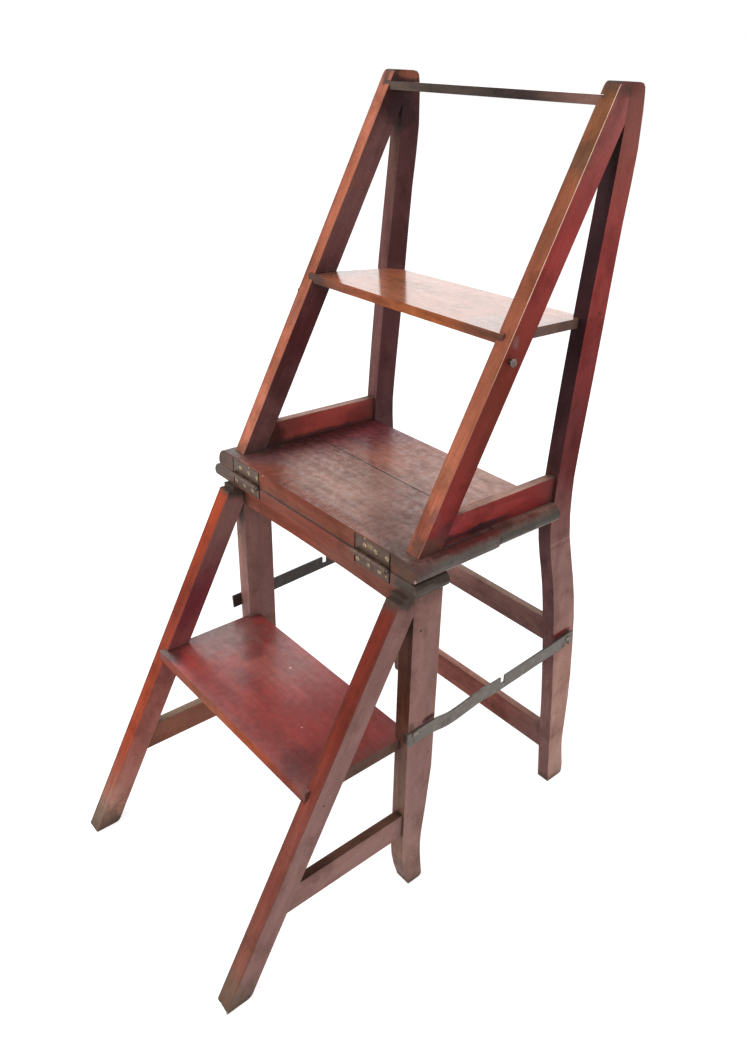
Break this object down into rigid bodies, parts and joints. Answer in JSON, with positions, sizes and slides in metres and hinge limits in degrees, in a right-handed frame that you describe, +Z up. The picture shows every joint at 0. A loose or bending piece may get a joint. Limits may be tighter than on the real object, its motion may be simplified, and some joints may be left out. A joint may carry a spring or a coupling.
{
  "type": "folding step stool chair",
  "caption": "Wooden library chair whose hinged upper half turns over to make a step ladder, with housed treads, bent back posts and swinging hooked iron stays.",
  "frame": {"origin": "on the floor, under the middle of the ladder's outline seen from above", "axes": "+X to the right of someone who faces the ladder to climb it, +Y from the lowest tread to the back posts, +Z up"},
  "size_m": [0.387, 0.5579, 0.9003],
  "materials": {
    "polished_wood": "old red-brown stain with a worn polish",
    "worn_wood": "old red-brown stain, worn and hazed on top",
    "tread_wood": "old red stain, glossy, with a worn front edge",
    "brass": "dull and darkened",
    "iron": "dark, smooth, slightly rusty",
    "screw_steel": "dull and darkened"
  },
  "bodies": {
    "stand": {"apron": "polished_wood", "front_leg_left": "polished_wood", "lower_stile_left": "polished_wood", "low_rail_left": "polished_wood", "front_leg_right": "polished_wood", "lower_stile_right": "polished_wood", "low_rail_right": "polished_wood", "cleat": "worn_wood", "lower_tread": "tread_wood", "hinge_lower_leaf_left": "brass", "hinge_pin_left": "brass", "hinge_lower_leaf_right": "brass", "hinge_pin_right": "brass", "hinge_lower_screw_left_1": "brass", "hinge_lower_screw_left_2": "brass", "hinge_lower_screw_left_3": "brass", "hinge_lower_screw_right_1": "brass", "hinge_lower_screw_right_2": "brass", "hinge_lower_screw_right_3": "brass", "stay_pivot_screw_left": "screw_steel", "cleat_screw_left": "screw_steel", "stay_pivot_screw_right": "screw_steel", "cleat_screw_right": "screw_steel"},
    "upper_frame": {"upper_back_rail": "polished_wood", "lower_back_rail": "polished_wood", "rear_post_left": "polished_wood", "upper_stile_left": "polished_wood", "seat_rail_left": "polished_wood", "rear_post_right": "polished_wood", "upper_stile_right": "polished_wood", "seat_rail_right": "polished_wood", "seat_front_plank": "worn_wood", "seat_rear_plank": "worn_wood", "top_tread": "worn_wood", "middle_tread": "tread_wood", "hinge_upper_leaf_left": "brass", "hinge_upper_leaf_right": "brass", "hinge_upper_screw_left_1": "brass", "hinge_upper_screw_left_2": "brass", "hinge_upper_screw_left_3": "brass", "hinge_upper_screw_right_1": "brass", "hinge_upper_screw_right_2": "brass", "hinge_upper_screw_right_3": "brass", "post_hook_screw_left": "screw_steel", "stile_hook_screw_left": "screw_steel", "seat_front_screw_left": "screw_steel", "seat_rear_screw_left": "screw_steel", "post_hook_screw_right": "screw_steel", "stile_hook_screw_right": "screw_steel", "seat_front_screw_right": "screw_steel", "seat_rear_screw_right": "screw_steel"},
    "stay_left_bar": {"stay_left": "iron"},
    "stay_right_bar": {"stay_right": "iron"}
  },
  "joints": [
    {"name": "chair_fold", "type": "hinge", "parent": "stand", "child": "upper_frame", "pos_m": [0.01, -0.045, 0.45015], "axis": [1, 0, 0], "range_deg": [0, 180]},
    {"name": "stay_left_swing", "type": "hinge", "parent": "stand", "child": "stay_left_bar", "pos_m": [-0.1638, -0.03, 0.2535], "axis": [-1, 0, 0], "range_deg": [-38, 180]},
    {"name": "stay_right_swing", "type": "hinge", "parent": "stand", "child": "stay_right_bar", "pos_m": [0.1838, -0.026, 0.248], "axis": [-1, 0, 0], "range_deg": [-42, 180]}
  ]
}
